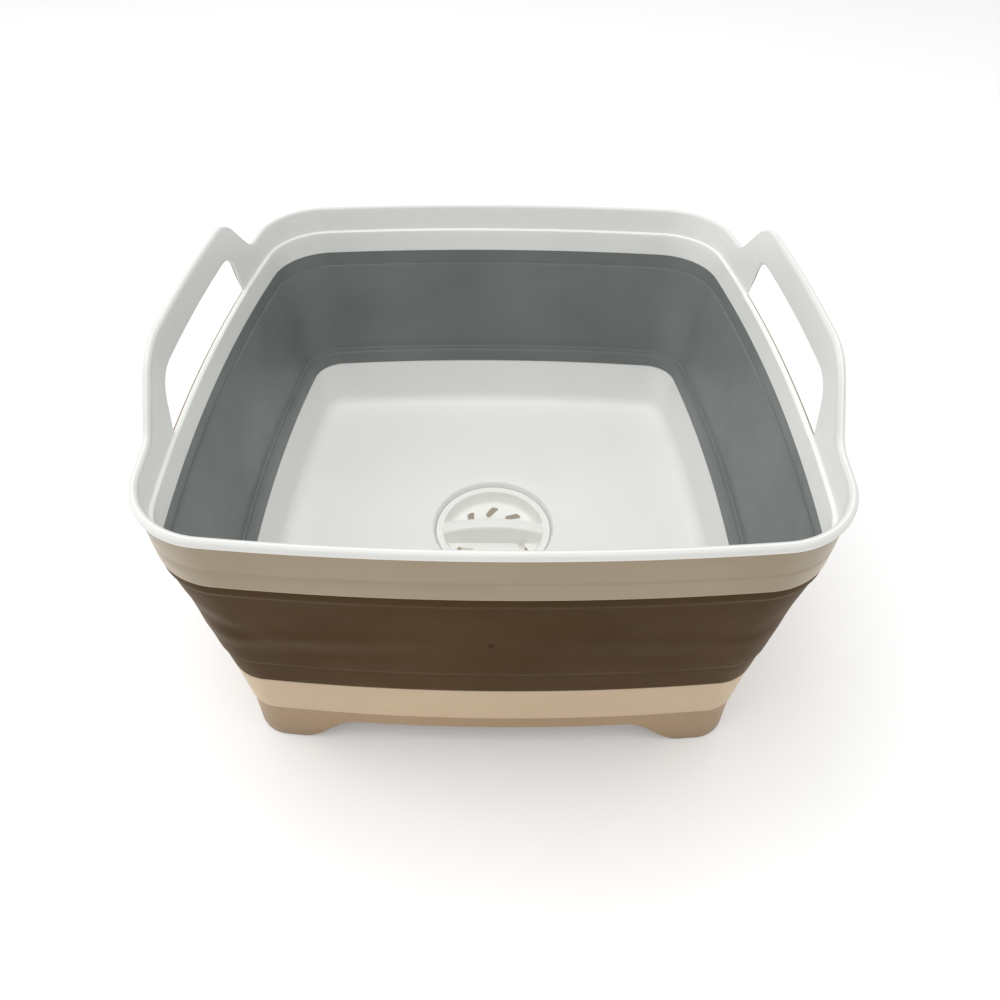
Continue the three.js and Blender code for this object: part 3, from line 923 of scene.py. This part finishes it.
def make_strainer():
    bm = dish_floor()
    outside = DISH_RADIUS + DISH_WALL
    turned(bm, [
        (DISH_FLAT_RADIUS, DISH_UNDERSIDE),
        (outside - 1.2, DISH_UNDERSIDE),
        (outside - 0.4, DISH_UNDERSIDE + 0.4),
        (outside, DISH_UNDERSIDE + 1.4),
        (outside, FLANGE_BOTTOM - 0.4),
        (outside + 0.4, FLANGE_BOTTOM),
        (FLANGE_RADIUS - 0.5, FLANGE_BOTTOM),
        (FLANGE_RADIUS, FLANGE_BOTTOM + 0.5),
        (FLANGE_RADIUS, FLANGE_TOP - 0.9),
        (FLANGE_RADIUS - 0.25, FLANGE_TOP - 0.35),
        (FLANGE_RADIUS - 0.9, FLANGE_TOP),
        (DISH_RADIUS + 1, FLANGE_TOP),
        (DISH_RADIUS + 0.4, FLANGE_TOP - 0.15),
        (DISH_RADIUS + 0.1, FLANGE_TOP - 0.6),
        (DISH_RADIUS, FLANGE_TOP - 1.4),
        (DISH_RADIUS - 1.4, DISH_FLOOR + 2.2),
        (DISH_RADIUS - 1.8, DISH_FLOOR + 1),
        (DISH_RADIUS - 2.6, DISH_FLOOR + 0.25),
        (DISH_FLAT_RADIUS, DISH_FLOOR),
    ], closed=False)
    bmesh.ops.remove_doubles(bm, verts=bm.verts, dist=1e-3)
    add_grip(bm)
    obj = finish_mesh("drain_plug", bm, [DRAIN_WHITE_PAINTED_GLOW])
    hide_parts("drain_strainer")
    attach(obj, "plug")


def make_stopper():
    low, high = node_box("drain_stopper")
    disc, hub, stem = high.x, STOPPER_HUB_RADIUS, STEM_RADIUS
    under = low.z + 3
    bm = bmesh.new()
    rings = turned(bm, [
        (0.5, low.z), (hub - 1, low.z), (hub - 0.2, low.z + 0.3), (hub, low.z + 1), (hub, under),
        (disc - 0.4, under), (disc, under + 0.4), (disc, under + 1.2), (disc - 0.4, under + 1.6),
        (stem + 1.5, under + 1.8), (stem + 0.4, under + 2.2), (stem, under + 3), (stem, high.z),
        (0.5, high.z),
    ], closed=False)
    bm.faces.new(rings[0])
    bm.faces.new(list(reversed(rings[-1])))
    obj = finish_mesh("stopper", bm, [STOPPER_PAINTED_GLOW])
    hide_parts("drain_stopper")
    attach(obj, "plug")


def make_seal():
    low, high = node_box("drain_seal")
    outer, inner = high.x, STOPPER_HUB_RADIUS + 0.3
    bm = bmesh.new()
    turned(bm, [
        (inner, low.z + 0.5), (inner + 0.6, low.z + 0.1), (inner + 2.6, low.z + 0.35), (inner + 4.6, low.z),
        (outer - 0.6, low.z), (outer, low.z + 0.6), (outer, high.z - 0.4), (outer - 0.4, high.z),
        (inner + 0.4, high.z), (inner, high.z - 0.4),
    ])
    obj = finish_mesh("seal_ring", bm, [SILICONE])
    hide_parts("drain_seal")
    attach(obj, "plug")


# ------------------------------------------------------------------ stage


def make_floor():
    material, tree, shader = principled("pale_floor")
    colour = mixed_colour(tree, object_noise(tree, 2), (0.94, 0.94, 0.94), (0.92, 0.92, 0.92))
    tree.links.new(colour, shader.inputs["Base Color"])
    shader.inputs["Roughness"].default_value = 0.7
    shader.inputs["Emission Color"].default_value = (1, 1, 1, 1)
    shader.inputs["Emission Strength"].default_value = 0.1
    mesh = bpy.data.meshes.new("floor")
    bm = bmesh.new()
    bmesh.ops.create_grid(bm, x_segments=2, y_segments=2, size=12)
    bm.to_mesh(mesh)
    bm.free()
    floor = bpy.data.objects.new("floor", mesh)
    floor.location = (0, 0, -0.0003)
    mesh.materials.append(material)
    bpy.context.scene.collection.objects.link(floor)


def area_light(name, place, target, size, power, colour):
    data = bpy.data.lights.new(name, "AREA")
    data.shape = "RECTANGLE"
    data.size, data.size_y = size
    data.energy = power
    data.color = colour
    light = bpy.data.objects.new(name, data)
    light.location = place
    light.rotation_euler = (Vector(target) - Vector(place)).to_track_quat("-Z", "Y").to_euler()
    light.visible_camera = False
    bpy.context.scene.collection.objects.link(light)
    return light


WHITE = (1, 1, 1)
WARM = (1, 0.68, 0.36)
BOUNCE_LENGTH, BOUNCE_WIDTH = 0.3, 0.12


def make_lights():
    """Soft light from above and the left, and a warm strip low down on each side."""
    world = bpy.data.worlds.new("soft_world")
    world.use_nodes = True
    background = world.node_tree.nodes["Background"]
    background.inputs["Color"].default_value = (1, 1, 1, 1)
    background.inputs["Strength"].default_value = 0.75
    bpy.context.scene.world = world
    area_light("sky", (-0.3, -0.1, 2.2), (0, 0, 0.1), (3.6, 3.6), 20, WHITE)
    area_light("key", (-0.12, -0.1, 1.3), (0, 0, 0.1), (0.6, 0.6), 3.2, WHITE)
    area_light("side", (-1.4, 0.15, 0.6), (0.1, 0, 0.17), (0.8, 0.8), 4.4, WHITE)
    for x, y in ((0, -1), (-1, 0), (1, 0), (0, 1)):
        size = (BOUNCE_WIDTH, BOUNCE_LENGTH) if x else (BOUNCE_LENGTH, BOUNCE_WIDTH)
        place = (0.19 * x, 0.185 * y, 0.002)
        strip = area_light(f"bounce_{x}_{y}", place, (place[0], place[1], 1), size, 0.045, WARM)
        strip.rotation_euler = (math.pi, 0, 0)
    bpy.context.scene.view_settings.view_transform = "Standard"


def make_camera():
    """The camera stands in front of the tub and above it, looking down into it."""
    data = bpy.data.cameras.new("camera")
    data.sensor_width = 36
    data.lens = 28.39
    data.shift_x = 0.0073
    data.shift_y = -0.106
    data.clip_start = 0.01
    camera = bpy.data.objects.new("camera", data)
    pitch, yaw, roll = 0.6714, -0.0053, 0.0042
    aim = Matrix.Rotation(-yaw, 4, "Z") @ Matrix.Rotation(math.pi / 2 - pitch, 4, "X")
    place = Matrix.Translation((0.0011, -0.3285, 0.3936))
    camera.matrix_world = place @ aim @ Matrix.Rotation(roll, 4, "Z")
    bpy.context.scene.collection.objects.link(camera)
    bpy.context.scene.camera = camera


make_camera()
make_lights()
make_floor()
make_frame()
make_wall()
make_base()
make_well()
make_strainer()
make_stopper()
make_seal()
